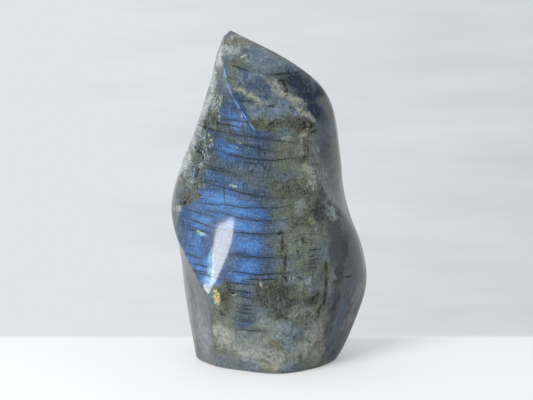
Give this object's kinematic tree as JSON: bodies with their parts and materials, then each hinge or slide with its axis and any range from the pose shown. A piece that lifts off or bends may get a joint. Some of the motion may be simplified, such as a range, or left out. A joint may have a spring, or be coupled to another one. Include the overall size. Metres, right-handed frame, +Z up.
{
  "type": "labradorite flame",
  "caption": "Free-standing polished stone flame: twisting faces rise from a flat sawn foot to a slanting blunt tip.",
  "frame": {"origin": "middle of the flat foot, on the surface that the stone stands on", "axes": "+Z up towards the tip; -Y is the show face with the blue flash; +X is the side with the low bulge, and the tip leans towards -X"},
  "size_m": [0.0883, 0.0637, 0.15],
  "materials": {
    "polished_labradorite": "polished"
  },
  "bodies": {
    "root": {"flame_stone": "polished_labradorite"}
  },
  "joints": []
}
